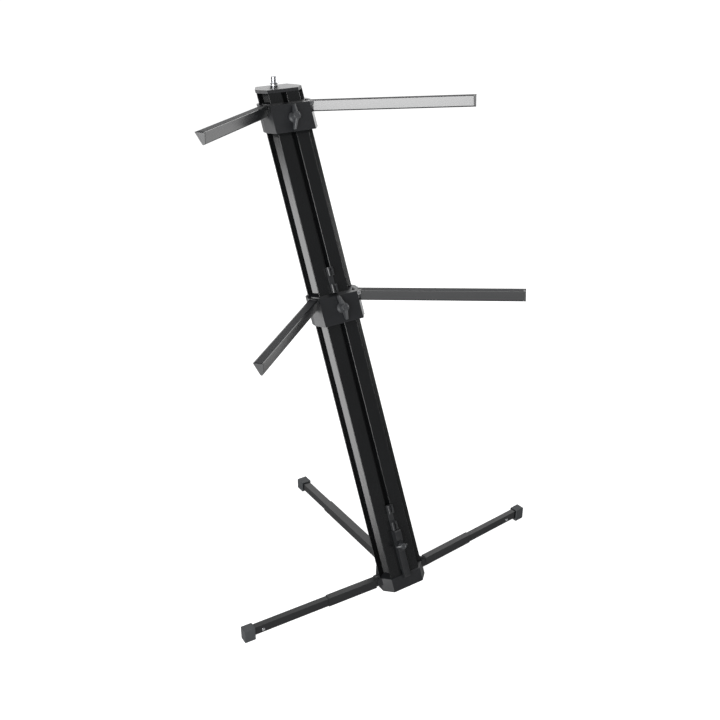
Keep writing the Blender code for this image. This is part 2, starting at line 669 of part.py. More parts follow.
def leg_lugs(sweep, left):
    """The two lugs of a side leg and the pocket for its knuckle."""
    out, back, rise, hinge, pivot, start = leg_axes(sweep)
    frame = axes(pivot, out, rise, hinge)
    lug = [(-10.0, -20.0), (0.0, -20.0), (4.0, -14.0)]
    lug += arc((0.0, 0.0), LEG_LUG_R, -20.0, 90.0, 8) + [(-4.9, LEG_LUG_R), (-4.9, -3.0), (-10.0, -3.2)]
    lugs = []
    for near in (LEG_TONGUE / 2 + GAP, -LEG_TONGUE / 2 - GAP - LEG_LUG):
        lugs.append(solid(prism([lug], near, near + LEG_LUG), frame))
    reach = LEG_TONGUE / 2 + GAP
    tools = [hinge_rod(pivot, hinge, LEG_LUG_R + 0.4, -reach, reach, 32),
             hinge_rod(pivot, hinge, HOLE_R, -reach - LEG_LUG - 3.0, reach + LEG_LUG + 3.0)]
    for piece in lugs + tools:
        if left:
            flipped(piece)
    return lugs, tools


BLOCK_HALF = [(0.0, -BLOCK_PROUD), (BLOCK_FRONT_HALF, -BLOCK_PROUD), (BLOCK_SIDE_HALF, 15.1),
              (BLOCK_SIDE_HALF, 33.0), (46.0, COLUMN_BACK), (REAR_CHANNEL_HALF, COLUMN_BACK),
              (REAR_CHANNEL_HALF, REAR_CHANNEL_FLOOR - 1.0)]
block = solid(level_prism([mirrored_outline(BLOCK_HALF)], 0.0, BLOCK_TOP), COLUMN)
for outline in spigots:
    joined(block, solid(level_prism([outline], BLOCK_TOP - 4.0, BLOCK_TOP + SPIGOT), COLUMN))
for is_left, sweep in ((False, RIGHT_SWEEP), (True, LEFT_SWEEP)):
    block_lugs, block_tools = leg_lugs(sweep, is_left)
    joined(block, *block_lugs)
    cut(block, *block_tools)
tongue_room = GAP + 0.1
cut(block, solid(box((-TONGUE_HALF - tongue_room, TONGUE_HALF + tongue_room),
                     (TONGUE_FRONT - tongue_room, TONGUE_BACK + tongue_room),
                     (TONGUE[0] - BAR_TRAVEL - 1.0, 60.0)), COLUMN))
rear_pivot = column_point(0, REAR_PIVOT_B, s_at(REAR_BOTTOM + REAR_HIGH / 2, REAR_PIVOT_B)) / MM
side_way = Vector((1, 0, 0))
cut(block, hinge_rod(rear_pivot, side_way, HOLE_R, -30.0, 30.0))
finish("base_block", block, CAST)


def hollow_bar(width, height, wall, low, high, frame):
    """A rectangular tube along the Z axis of its frame."""
    def ring(w, h):
        return [(-w / 2, -h / 2), (w / 2, -h / 2), (w / 2, h / 2), (-w / 2, h / 2)]
    return solid(prism([ring(width, height), ring(width - 2 * wall, height - 2 * wall)], low, high), frame)


def build_side_leg(label, sweep, step_at, rivet_at, left):
    """A side leg: root, pin, outer tube, inner tube, rubber foot and rivet."""
    out, back, rise, hinge, pivot, start = leg_axes(sweep)
    frame = axes(start, back, Vector((0, 0, 1)), out)
    joint = pivot * MM
    lug_frame = axes(pivot, out, rise, hinge)
    reach = LEG_TONGUE / 2
    root = hinge_rod(pivot, hinge, LEG_KNUCKLE_R, -reach, reach, 32)
    heel = [(-HEEL_IN, -HEEL_DOWN), (HEEL_OUT, -HEEL_DOWN), (HEEL_OUT, 0.0), (0.0, LEG_KNUCKLE_R - 0.2),
            (-HEEL_IN, -3.0)]
    joined(root, solid(prism([heel], -reach + 0.01, reach - 0.01), lug_frame))
    core_w = LEG_WIDE - 2 * LEG_WALL - 2 * GAP
    core_h = LEG_HIGH - 2 * LEG_WALL - 2 * GAP
    collar_at = LEG_TUBE_START - GAP
    joined(root, solid(box((-LEG_WIDE / 2, LEG_WIDE / 2), (-LEG_HIGH / 2, LEG_HIGH / 2),
                           (collar_at - LEG_COLLAR, collar_at)), frame))
    joined(root, solid(box((-core_w / 2, core_w / 2), (-core_h / 2, core_h / 2),
                           (collar_at - 0.5, LEG_PLUG_END)), frame))
    cut(root, hinge_rod(pivot, hinge, HOLE_R, -20.0, 20.0))
    finish(label + "_leg_root", root, CAST, joint, left)
    pin_reach = reach + GAP + LEG_LUG
    finish(label + "_leg_pin", hinge_rod(pivot, hinge, PIN_R, -pin_reach, pin_reach), STEEL, joint, left)
    outer = hollow_bar(LEG_WIDE, LEG_HIGH, LEG_WALL, LEG_TUBE_START, step_at, frame)
    finish(label + "_leg_outer", outer, LEG_PAINT, joint, left)
    slide_at = (start + out * step_at) * MM
    inner = hollow_bar(core_w, core_h, LEG_WALL, INNER_START, INNER_END, frame)
    front = frame @ Matrix.Translation(Vector((0, RIVET_Z - leg_level, rivet_at)) * MM)
    front = front @ Matrix.Rotation(-math.pi / 2, 4, 'Y')
    cut(inner, solid(rod(HOLE_R, 0.0, 20.0), front))
    finish(label + "_leg_inner", inner, LEG_PAINT, slide_at, left)
    face = core_w / 2 + GAP
    rivet = [(0.0, face + RIVET_PROUD), (2.6, face + RIVET_PROUD), (RIVET_R, face + 0.8), (RIVET_R, face),
             (PIN_R, face), (PIN_R, face - RIVET_DEEP), (0.0, face - RIVET_DEEP)]
    finish(label + "_leg_rivet", solid(turned(rivet, SMALL_STEPS), front), STEEL, slide_at, left)
    foot = solid(box((-FOOT_WIDE / 2, FOOT_WIDE / 2), (-leg_level, FOOT_TOP - leg_level),
                     (FOOT_START, FOOT_END)), frame)
    cut(foot, solid(box((-core_w / 2 - GAP, core_w / 2 + GAP), (-core_h / 2 - GAP, core_h / 2 + GAP),
                        (FOOT_START - 5.0, INNER_END + GAP)), frame))
    finish(label + "_leg_foot", foot, RUBBER, slide_at, left)


build_side_leg("left", LEFT_SWEEP, LEFT_STEP, LEFT_RIVET, True)
build_side_leg("right", RIGHT_SWEEP, RIGHT_STEP, RIGHT_RIVET, False)

# Rear leg
rear_level = REAR_BOTTOM + REAR_HIGH / 2
REAR = axes((0, -ORIGIN_BACK, rear_level), (-1, 0, 0), (0, 0, 1), (0, 1, 0))
rear_joint = rear_pivot * MM
pivot_y = rear_pivot.y + ORIGIN_BACK
rear_root = hinge_rod(rear_pivot, side_way, REAR_KNUCKLE_R, -12.0, 12.0, 32)
joined(rear_root, solid(box((-REAR_ROOT_HALF[0], REAR_ROOT_HALF[0]), (-REAR_ROOT_HALF[1], REAR_ROOT_HALF[1]),
                            (pivot_y, pivot_y + REAR_TUBE_START - GAP)), REAR))
rear_w = REAR_WIDE - 2 * LEG_WALL - 2 * GAP
rear_h = REAR_HIGH - 2 * LEG_WALL - 2 * GAP
joined(rear_root, solid(box((-rear_w / 2, rear_w / 2), (-rear_h / 2, rear_h / 2),
                            (pivot_y + 4.0, pivot_y + REAR_PLUG_END)), REAR))
cut(rear_root, hinge_rod(rear_pivot, side_way, HOLE_R, -20.0, 20.0))
finish("rear_leg_root", rear_root, CAST, rear_joint)
rear_pin = hinge_rod(rear_pivot, side_way, PIN_R, -REAR_PIN_HALF, REAR_PIN_HALF)
finish("rear_leg_pin", rear_pin, STEEL, rear_joint)
rear_outer = hollow_bar(REAR_WIDE, REAR_HIGH, LEG_WALL, pivot_y + REAR_TUBE_START, REAR_STEP, REAR)
finish("rear_leg_outer", rear_outer, LEG_PAINT, rear_joint)
rear_slide = Vector((0, REAR_STEP - ORIGIN_BACK, rear_level)) * MM
rear_inner = hollow_bar(rear_w, rear_h, LEG_WALL, REAR_INNER_START, REAR_END - FOOT_FLOOR, REAR)
finish("rear_leg_inner", rear_inner, LEG_PAINT, rear_slide)
rear_foot = solid(box((-REAR_FOOT_HALF, REAR_FOOT_HALF), (-rear_level, REAR_FOOT_TOP - rear_level),
                      (REAR_FOOT_START, REAR_END)), REAR)
cut(rear_foot, solid(box((-rear_w / 2 - GAP, rear_w / 2 + GAP), (-rear_h / 2 - GAP, rear_h / 2 + GAP),
                         (REAR_FOOT_START - 5.0, REAR_END - FOOT_FLOOR + GAP)), REAR))
finish("rear_leg_foot", rear_foot, RUBBER, rear_slide)
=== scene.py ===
"""Looks of the column keyboard stand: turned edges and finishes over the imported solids, wing knobs and a
threaded stud, with the studio light and the camera of the reference view.

Lengths of the stand are in millimetres until they go into a mesh, and the stage is in metres. In the
column frame x runs to the right, y straight back through the column and z along it, from the place
where its front meets the floor.
"""
import json
import math

import bmesh
import bpy
import numpy as np
from mathutils import Matrix, Vector


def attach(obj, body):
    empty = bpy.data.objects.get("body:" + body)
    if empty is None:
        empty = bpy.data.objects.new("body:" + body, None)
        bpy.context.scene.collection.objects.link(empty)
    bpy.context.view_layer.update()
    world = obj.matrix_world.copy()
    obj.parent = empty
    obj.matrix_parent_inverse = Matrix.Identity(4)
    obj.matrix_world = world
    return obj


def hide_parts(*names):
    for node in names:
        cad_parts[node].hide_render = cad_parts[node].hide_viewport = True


MM = 0.001

# Packed triangles: corners nearer than this in metres are one, and so are faces within this many degrees
WELD = 0.00001
FLAT = 0.4
# Edges sharper than this many degrees are turned
EDGE_ANGLE = 30.0
EDGE_SEGMENTS = 3

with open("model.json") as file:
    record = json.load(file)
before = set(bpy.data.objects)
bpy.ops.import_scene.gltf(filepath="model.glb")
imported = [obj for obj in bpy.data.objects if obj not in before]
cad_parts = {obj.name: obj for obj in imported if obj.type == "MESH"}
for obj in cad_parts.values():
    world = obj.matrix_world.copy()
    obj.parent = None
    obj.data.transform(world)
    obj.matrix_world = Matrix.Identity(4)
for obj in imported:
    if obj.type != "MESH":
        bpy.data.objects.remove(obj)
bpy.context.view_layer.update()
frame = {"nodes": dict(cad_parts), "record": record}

# Stance, as in the solids
LEAN = math.radians(26.468)
ORIGIN_BACK = 30.0
CARRIAGE_PROUD = 16.5
BAR_PROUD = 14.0
UPPER_KNOB_S = 1221.9
LOWER_KNOB_S = 734.9
BAR_KNOB_S = 109.0
STUD_AT = (0.0, 625.388, 1163.7)

# Turned pieces: radius of the flat that closes an end, and the gap under the foot
POLE = 0.4
LIFT = 0.4

# Wing knobs: height, hub radius, base radius, half length over the wings, wing thickness
KNOB_SIZE = (25.0, 8.0, 13.5, 32.5, 8.0)
LOCK_KNOB_SIZE = (17.0, 5.6, 8.2, 16.5, 6.5)
UPPER_WING_TURN = math.radians(-13.0)
LOWER_WING_TURN = math.radians(7.5)
LOCK_WING_TURN = math.radians(85.0)

# Hub: how far it bulges over its radius, the dish in its top, its draft, where the bulge ends and the
# draft ends as shares of the height, the height of the skirt, and the reach of its rounding
HUB_BULGE = 2.4
HUB_DISH = 0.8
HUB_DRAFT = 0.6
BULGE_SHARE, DRAFT_SHARE = 0.62, 0.36
SKIRT_HIGH = 3.8
HUB_EASE = 1.2

# Wings: thickness at the tip and what the root adds to it as shares, how far the tip's corners step
# back, heights of the tip as shares, its lowest points, where a wing meets the hub, and its rounding
WING_TIP_SHARE, WING_ROOT_SHARE = 0.8, 0.25
WING_STEP = 3.0
TIP_HIGH_SHARE, SHOULDER_SHARE = 0.42, 0.5
WING_LOW, TIP_LOW = 2.2, 5.0
WING_IN_HUB = 1.0
WING_UNDER_TOP = 0.6
WING_CORNER = 2.4
WING_EDGE_SHARE = 0.3

# Stud, above the cap
STUD_TOP = 24.6
STUD_POINTS = 72
THREAD_R = 7.25
THREAD_PITCH = 0.94
THREAD_DEEP = 0.5
THREAD_STEPS = 8
THREAD_SHARP = 60.0
THREAD_ABOVE_FLANGE = 0.6
TIP_HIGH, TIP_IN = 0.8, 0.9
ROOT_IN, ROOT_DEEP = 4.0, 1.0
FLANGE_R = 14.3
FLANGE_TOP = 10.0
FLANGE_THICK = 1.4
COLLAR_R = 9.8
COLLAR_DOWN = 2.2
COLLAR_WAIST = 0.6
COLLAR_EASE = 0.5

# Camera of the reference view
CAMERA_AT = (-1160.2, -1579.1, 1599.6)
CAMERA_TURN = math.radians(33.1575)
CAMERA_DIP = math.radians(26.2268)
CAMERA_LENS = 47.2985
CAMERA_SENSOR = 36.0

# Lamps: place and aim in metres, width and height in metres, radiance. A tall softbox at the left front
# for the chamfers, a wide card behind for the level tops, a small one that only the upper right arm
# mirrors and one overhead that draws the front edges
LAMPS = {
    "left_softbox": ((-2.05, -1.13, 1.35), (0.0, 0.3, 0.6), (2.0, 1.9), 9.0),
    "back_card": ((2.26, 3.2, 2.06), (0.0, 0.3, 0.5), (4.5, 3.0), 1.8),
    "arm_card": ((-0.71, -0.37, 0.88), (0.21, 0.36, 1.12), (0.8, 0.4), 8.0),
    "top_card": ((1.3, 0.15, 2.6), (0.0, 0.3, 0.7), (1.2, 1.2), 2.5),
}

# Backdrop: what the camera sees, and what lights the stand from all sides
WHITE = 1.0
SURROUND = 0.2

# Floor, in metres: half its side, its drop under the feet, its grey and roughness, and its glow, which
# grows between two distances from the stand
FLOOR_HALF = 30.0
FLOOR_DROP = 0.0005
FLOOR_GREY = 0.35
FLOOR_ROUGHNESS = 0.95
GLOW_FROM, GLOW_TO = 0.6, 1.8
GLOW_NEAR, GLOW_FAR = 0.12, 1.25

WORLD = Matrix.Translation((0.0, -ORIGIN_BACK * MM, 0.0))
COLUMN = WORLD @ Matrix.Rotation(-LEAN, 4, 'X')
STUD = WORLD @ Matrix.Translation(Vector(STUD_AT) * MM)

BODY_OF = {node: body for body, nodes in frame["record"]["behaviour"]["bodies"].items() for node in nodes}


# ---- Surfaces

# Least cosine at a mitre, and the longest share of a side that a corner's rounding may take
MITRE_LEAST = 0.4
CORNER_ROOM = 0.48
EASE_ROOM = 0.45


def place(points, frame_matrix):
    """Points in millimetres of a local frame as metres in the row frame."""
    matrix = np.array(frame_matrix)
    return points * MM @ matrix[:3, :3].T + matrix[:3, 3]


def ring_faces(rings, points):
    """Quads between neighbouring rings of a grid, each ring closed on itself."""
    ring, point = np.meshgrid(np.arange(rings - 1), np.arange(points), indexing="ij")
    after = (point + 1) % points
    here = ring * points
    quads = np.stack([here + point, here + after, here + points + after, here + points + point], axis=-1)
    return quads.reshape(-1, 4).tolist()


def shown(piece, nodes, look):
    """A piece in the scene that stands for nodes of one body and its finish."""
    bpy.context.scene.collection.objects.link(piece)
    piece.data.materials.clear()
    piece.data.materials.append(look)
    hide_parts(*nodes)
    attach(piece, BODY_OF[nodes[0]])
    return piece


def ringed(name, grid, nodes, look, angle=35.0):
    """A closed piece from a grid of rings (rings, points, 3) in metres, with a face over each end."""
    rings, points = grid.shape[:2]
    faces = ring_faces(rings, points)
    faces.append(list(range(points))[::-1])
    faces.append(list(range((rings - 1) * points, rings * points)))
    mesh = bpy.data.meshes.new(name)
    mesh.from_pydata(grid.reshape(-1, 3).tolist(), [], faces)
    facing_out(mesh)
    mesh.shade_smooth()
    mesh.set_sharp_from_angle(angle=math.radians(angle))
    return shown(bpy.data.objects.new(name, mesh), nodes, look)


def facing_out(mesh):
    """Turns every face outward, by the sign of the volume that the faces hold."""
    bm = bmesh.new()
    bm.from_mesh(mesh)
    bmesh.ops.recalc_face_normals(bm, faces=bm.faces)
    if bm.calc_volume(signed=True) < 0:
        bmesh.ops.reverse_faces(bm, faces=bm.faces)
    bm.to_mesh(mesh)
    bm.free()


def inward(outline):
    """Mitred steps that move a counter-clockwise outline in by one millimetre.

    Each step is the middle of the two sides' normals over its cosine to one of them.
    """
    before = outline - np.roll(outline, 1, axis=0)
    after = np.roll(outline, -1, axis=0) - outline
    before /= np.linalg.norm(before, axis=1)[:, None]
    after /= np.linalg.norm(after, axis=1)[:, None]
    normal_before = np.stack([-before[:, 1], before[:, 0]], axis=1)
    normal_after = np.stack([-after[:, 1], after[:, 0]], axis=1)
    middle = normal_before + normal_after
    middle /= np.linalg.norm(middle, axis=1)[:, None]
    return middle / np.maximum(np.einsum("ij,ij->i", middle, normal_before), MITRE_LEAST)[:, None]


def rounded_outline(corners, radius, steps=5):
    """A closed outline, counter-clockwise, whose corners are turned by arcs of the given radius.

    The arc touches each side at the radius over the tangent of half the corner's angle, its centre lies
    on the bisector, and its points sweep evenly from one touching point to the other.
    """
    corners = np.array(corners, float)
    rows = []
    for i, corner in enumerate(corners):
        to_before = corners[i - 1] - corner
        to_after = corners[(i + 1) % len(corners)] - corner
        room = min(np.linalg.norm(to_before), np.linalg.norm(to_after)) * CORNER_ROOM
        to_before = to_before / np.linalg.norm(to_before)
        to_after = to_after / np.linalg.norm(to_after)
        half = math.acos(float(np.clip(to_before @ to_after, -1.0, 1.0))) / 2
        reach = min(radius / math.tan(half), room)
        swing = reach * math.tan(half)
        towards = (to_before + to_after) / np.linalg.norm(to_before + to_after)
        centre = corner + towards * swing / math.sin(half)
        start = corner + to_before * reach - centre
        end = corner + to_after * reach - centre
        turn = np.linspace(0.0, 1.0, steps + 1)[:, None]
        sweep = math.pi - 2 * half
        arc = (np.sin((1 - turn) * sweep) * start + np.sin(turn * sweep) * end) / math.sin(sweep)
        rows.append(centre + arc)
    return np.concatenate(rows)


def slab(outline, low, high, edge, steps=4):
    """An outline stood between two heights: at each rim its inset and height follow a quarter circle."""
    quarter = np.linspace(0.0, np.pi / 2, steps + 1)
    inset = np.concatenate([edge * (1 - np.sin(quarter)), edge * (1 - np.cos(quarter))])
    height = np.concatenate([low + edge * (1 - np.cos(quarter)), high - edge * (1 - np.sin(quarter))])
    flat = outline[None] + inward(outline)[None] * inset[:, None, None]
    tall = np.broadcast_to(height[:, None, None], (len(height), len(outline), 1))
    return np.concatenate([flat, tall], axis=2)


def turned(profile, points=56):
    """A profile of (radius, height) rows turned about Z, each row a full circle."""
    profile = np.array(profile, float)
    angle = np.linspace(0.0, 2 * np.pi, points, endpoint=False)
    x = profile[:, 0, None] * np.cos(angle)
    y = profile[:, 0, None] * np.sin(angle)
    z = np.broadcast_to(profile[:, 1, None], x.shape)
    return np.stack([x, y, z], axis=2)


def eased(profile, radius, steps=4):
    """A profile of (radius, height) rows whose inner corners are turned.

    Each becomes a quadratic curve with the corner as its control point, from a short way before it to
    as far after it.
    """
    profile = np.array(profile, float)
    rows = [profile[:1]]
    for before, corner, after in zip(profile, profile[1:], profile[2:]):
        back = before - corner
        on = after - corner
        reach = min(radius, np.linalg.norm(back) * EASE_ROOM, np.linalg.norm(on) * EASE_ROOM)
        start = corner + back / np.linalg.norm(back) * reach
        end = corner + on / np.linalg.norm(on) * reach
        t = np.linspace(0.0, 1.0, steps + 1)[:, None]
        rows.append((1 - t) ** 2 * start + 2 * t * (1 - t) * corner + t ** 2 * end)
    rows.append(profile[-1:])
    return np.concatenate(rows)


def softened(node_name, look, width, crisp=False):
    """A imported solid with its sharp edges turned: its triangles are merged to whole faces first.

    Crisp edges are flat chamfers instead of rounds.
    """
    bm = bmesh.new()
    bm.from_mesh(frame["nodes"][node_name].data)
    bmesh.ops.remove_doubles(bm, verts=bm.verts, dist=WELD)
    bmesh.ops.dissolve_limit(bm, angle_limit=math.radians(FLAT), verts=bm.verts, edges=bm.edges)
    mesh = bpy.data.meshes.new(node_name + "_skin")
    bm.to_mesh(mesh)
    bm.free()
    if crisp:
        mesh.shade_flat()
    else:
        mesh.shade_smooth()
        mesh.set_sharp_from_angle(angle=math.radians(EDGE_ANGLE))
    piece = bpy.data.objects.new(node_name + "_skin", mesh)
    edges = piece.modifiers.new("turned edges", 'BEVEL')
    edges.width = width * MM
    edges.segments = 1 if crisp else EDGE_SEGMENTS
    edges.limit_method = 'ANGLE'
    edges.angle_limit = math.radians(EDGE_ANGLE)
    edges.use_clamp_overlap = True
    edges.harden_normals = not crisp
    return shown(piece, [node_name], look)


# ---- Finishes

# The Mix node's colour sockets by number, because it has several of each name
COLOUR_A, COLOUR_B, COLOUR_OUT = 6, 7, 2
SPECK_DETAIL, SPECK_ROUGHNESS = 3.0, 0.6
CLOUD_DETAIL = 2.0
RELIEF_STRENGTH = 0.6
# Drawn metal: a pattern squeezed to this share along the column's own axis, which draws specks into lines
DRAWN = (1.0, 1.0, 0.015)


def linear(code):
    """A linear colour with full alpha from an sRGB hex value."""
    channels = [int(code[i:i + 2], 16) / 255 for i in (1, 3, 5)]
    return (*[c / 12.92 if c <= 0.04045 else ((c + 0.055) / 1.055) ** 2.4 for c in channels], 1.0)


def add(tree, kind, values=None, links=None, **settings):
    """A node with its settings, its input values and the links that feed it."""
    node = tree.nodes.new(kind)
    for key, value in settings.items():
        setattr(node, key, value)
    for key, value in (values or {}).items():
        node.inputs[key].default_value = value
    for key, source in (links or {}).items():
        tree.links.new(source, node.inputs[key])
    return node


def finish(name, dark, pale, roughness, spread=0.08, grain=0.8, relief=0.02, metallic=0.0, specular=0.5,
           draw=(1.0, 1.0, 1.0), lean=0.0, patch=70.0):
    """A finish with a slow drift between two close colours, a fine relief and an uneven gloss.

    grain is the size of one speck and patch of one cloudy area, in millimetres. draw scales the
    coordinates along the axes of a frame that leans back by lean, so a small share stretches the specks.
    """
    look = bpy.data.materials.new(name)
    look.use_nodes = True
    tree = look.node_tree
    shader = tree.nodes["Principled BSDF"]
    shader.inputs["Metallic"].default_value = metallic
    shader.inputs["Specular IOR Level"].default_value = specular
    where = add(tree, "ShaderNodeTexCoord").outputs["Object"]
    upright = add(tree, "ShaderNodeMapping", {"Rotation": (lean, 0.0, 0.0)}, {"Vector": where})
    drawn = add(tree, "ShaderNodeMapping", {"Scale": draw}, {"Vector": upright.outputs["Vector"]})
    specks = add(tree, "ShaderNodeTexNoise",
                 {"Scale": 1.0 / (grain * MM), "Detail": SPECK_DETAIL, "Roughness": SPECK_ROUGHNESS},
                 {"Vector": drawn.outputs["Vector"]}).outputs["Fac"]
    clouds = add(tree, "ShaderNodeTexNoise", {"Scale": 1.0 / (patch * MM), "Detail": CLOUD_DETAIL},
                 {"Vector": where}).outputs["Fac"]
    tint = add(tree, "ShaderNodeMix", {COLOUR_A: linear(dark), COLOUR_B: linear(pale)}, {"Factor": clouds},
               data_type='RGBA')
    gloss = add(tree, "ShaderNodeMapRange", {"To Min": roughness - spread, "To Max": roughness + spread},
                {"Value": specks})
    bump = add(tree, "ShaderNodeBump", {"Strength": RELIEF_STRENGTH, "Distance": relief * MM},
               {"Height": specks})
    tree.links.new(tint.outputs[COLOUR_OUT], shader.inputs["Base Color"])
    tree.links.new(gloss.outputs["Result"], shader.inputs["Roughness"])
    tree.links.new(bump.outputs["Normal"], shader.inputs["Normal"])
    return look


# Black anodised aluminium drawn through a die: faint lines run along the column, gloss is satin
EXTRUSION = finish("black_anodised_extrusion", "#0e0f10", "#141516", 0.20, spread=0.04, grain=0.9,
                   relief=0.01, draw=DRAWN, lean=LEAN)
# Black anodised arm bars: the same metal with less relief, so they mirror what is around them
ARM_FINISH = finish("black_anodised_arm_bar", "#141516", "#1b1c1e", 0.20, spread=0.04, grain=1.1,
                    relief=0.004)
# Powder-coated zinc casting: dark grey with the faint orange peel of the powder
CASTING = finish("dark_powder_coated_casting", "#18191b", "#1f2022", 0.34, grain=1.3, relief=0.02,
                 patch=40.0)
# Powder-coated steel tube of the legs: a little duller, with a fine tooth
LEG_COAT = finish("dark_powder_coated_tube", "#151617", "#1c1d1f", 0.32, grain=0.9, relief=0.015,
                  specular=0.35)
# Moulded nylon of the wing knobs: dark grey with a soft sheen
KNOB_NYLON = finish("moulded_dark_nylon", "#303133", "#3a3b3d", 0.36, grain=0.6, relief=0.015, patch=12.0)
# Moulded nylon of the cable clips: black, smoother
CLIP_NYLON = finish("moulded_black_nylon", "#232425", "#2c2d2f", 0.3, grain=0.6, relief=0.015, patch=12.0)
# Moulded end plugs of the arms: dark grey with a dull sheen
PLUG_PLASTIC = finish("moulded_end_plug", "#1e1f20", "#262728", 0.38, grain=0.7, relief=0.015, patch=10.0)
# Moulded rubber of the feet: dull, with a fine tooth and a dusty drift
RUBBER = finish("moulded_foot_rubber", "#36383a", "#404244", 0.62, grain=0.7, relief=0.06, specular=0.4,
                patch=15.0)
# Rubber strips on the arms: dull and dark
STRIP_RUBBER = finish("arm_strip_rubber", "#222325", "#2b2c2e", 0.62, grain=1.6, relief=0.02, specular=0.25)
# Chrome-plated steel: bright, with a faint waviness of the plating
CHROME = finish("chrome_plated_steel", "#c4c5c8", "#d2d3d6", 0.14, spread=0.05, grain=1.5, relief=0.004,
                metallic=1.0, patch=8.0)
# Dark zinc-plated pins and nuts: dull metal between the castings
ZINC = finish("dark_zinc_plated_steel", "#2e2f31", "#3a3b3d", 0.42, grain=0.8, relief=0.01, metallic=1.0,
              patch=8.0)


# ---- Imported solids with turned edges

# Node or the end of its name, finish, width of the turned edge
STAND_SKINS = (
    ("top_cap", CASTING, 0.9), ("base_block", CASTING, 0.9),
    ("upper_carriage", CASTING, 0.8), ("lower_carriage", CASTING, 0.8),
    ("upper_cable_clip", CLIP_NYLON, 0.5), ("lower_cable_clip", CLIP_NYLON, 0.5),
)
BAR_SKIN = (("lock_bar", CASTING, 0.8),)
LEG_SKINS = (("root", CASTING, 0.5), ("outer", LEG_COAT, 1.0), ("inner", LEG_COAT, 0.9),
             ("foot", RUBBER, 1.4))
RIVET_SKIN = (("rivet", CHROME, 0.3),)
ARM_SKINS = (("tube", ARM_FINISH, 0.25), ("root", CASTING, 0.5), ("strip", STRIP_RUBBER, 0.3),
             ("cap", PLUG_PLASTIC, 0.6))
COLUMN_CHAMFER = 0.75


def dress(prefix, rows):
    """Turned edges and finishes for nodes whose names start alike."""
    for ending, look, width in rows:
        softened(prefix + ending, look, width)


dress("", STAND_SKINS)
dress("rear_leg_", LEG_SKINS)
dress("", BAR_SKIN)
softened("column", EXTRUSION, COLUMN_CHAMFER, crisp=True)
for side in ("left", "right"):
    dress(side + "_leg_", LEG_SKINS + RIVET_SKIN)
    for tier in ("upper", "lower"):
        dress(tier + "_" + side + "_arm_", ARM_SKINS)

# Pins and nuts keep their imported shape
for node_name, node in frame["nodes"].items():
    if node_name.endswith(("_pin", "_nut")):
        node.data.materials.clear()
        node.data.materials.append(ZINC)


# ---- Wing knobs


def knob_hub(size):
    """A dished, waisted hub on a skirt: an eased profile turned about the screw."""
    high, hub_r, base_r = size[:3]
    bulge = hub_r + HUB_BULGE
    profile = [(POLE, high - HUB_DISH), (hub_r - 2 * HUB_DISH, high - HUB_DISH), (hub_r - HUB_DISH, high),
               (bulge - HUB_DISH, high), (bulge, high * BULGE_SHARE), (bulge - HUB_DRAFT, high * DRAFT_SHARE),
               (base_r, SKIRT_HIGH), (base_r, LIFT), (POLE, LIFT)]
    return turned(eased(profile, HUB_EASE))


def knob_wings(size):
    """A plate of two wings: a rounded outline in length and height stood to the wings' thickness.

    The thickness grows evenly from the tips to the screw.
    """
    high, hub_r, _, wing, thick = size
    side = [(wing - WING_STEP, WING_LOW), (wing, TIP_LOW), (wing, high * TIP_HIGH_SHARE),
            (wing - WING_STEP, high * SHOULDER_SHARE), (hub_r - WING_IN_HUB, high - WING_UNDER_TOP)]
    outline = rounded_outline(side + [(-w, h) for w, h in reversed(side)], WING_CORNER)
    plate = slab(outline, -thick / 2, thick / 2, thick * WING_EDGE_SHARE)
    nearness = np.clip(1 - np.abs(plate[:, :, 0]) / wing, 0.0, 1.0)
    plate[:, :, 2] *= WING_TIP_SHARE + WING_ROOT_SHARE * nearness
    return plate[:, :, [2, 0, 1]]


def wing_knob(name, node_name, s, proud, turn, size):
    """Hub and wings of a knob that stands proud of the column's front at height s, turned about its screw."""
    face = (COLUMN @ Matrix.Translation(Vector((0.0, -proud, s)) * MM) @ Matrix.Rotation(math.pi / 2, 4, 'X')
            @ Matrix.Rotation(turn, 4, 'Z'))
    ringed(name + "_hub", place(knob_hub(size), face), [node_name], KNOB_NYLON)
    ringed(name + "_wings", place(knob_wings(size), face), [node_name], KNOB_NYLON)


wing_knob("upper_knob", "upper_wing_knob", UPPER_KNOB_S, CARRIAGE_PROUD, UPPER_WING_TURN, KNOB_SIZE)
wing_knob("lower_knob", "lower_wing_knob", LOWER_KNOB_S, CARRIAGE_PROUD, LOWER_WING_TURN, KNOB_SIZE)
wing_knob("lock", "lock_knob", BAR_KNOB_S, BAR_PROUD, LOCK_WING_TURN, LOCK_KNOB_SIZE)


# ---- Stud


def stud_thread():
    """The threaded shank: circles whose radius dips by a triangle wave as deep as the thread.

    The wave's phase is the height over the pitch less the share of the turn, which winds it into a
    helix, and the wave fades over one pitch at both ends. A ring inside the flange and a flat tip
    close the shank.
    """
    low = FLANGE_TOP + THREAD_ABOVE_FLANGE
    rows = np.linspace(low, STUD_TOP - TIP_HIGH, int((STUD_TOP - low) / THREAD_PITCH * THREAD_STEPS))
    around = np.linspace(0.0, 2 * np.pi, STUD_POINTS, endpoint=False)
    along, angle_at = np.meshgrid(rows, around, indexing="ij")
    phase = (along / THREAD_PITCH - angle_at / (2 * np.pi)) % 1.0
    fade = np.clip(np.minimum(along - rows[0], rows[-1] - along) / THREAD_PITCH, 0.0, 1.0)
    radius_at = THREAD_R - THREAD_DEEP * (1 - np.abs(2 * phase - 1)) * fade
    thread = np.stack([radius_at * np.cos(angle_at), radius_at * np.sin(angle_at), along], axis=2)
    tip = turned([(THREAD_R - TIP_IN, STUD_TOP), (POLE, STUD_TOP)], STUD_POINTS)
    root = turned([(COLLAR_R - ROOT_IN, FLANGE_TOP - ROOT_DEEP)], STUD_POINTS)
    return np.concatenate([root, thread, tip])


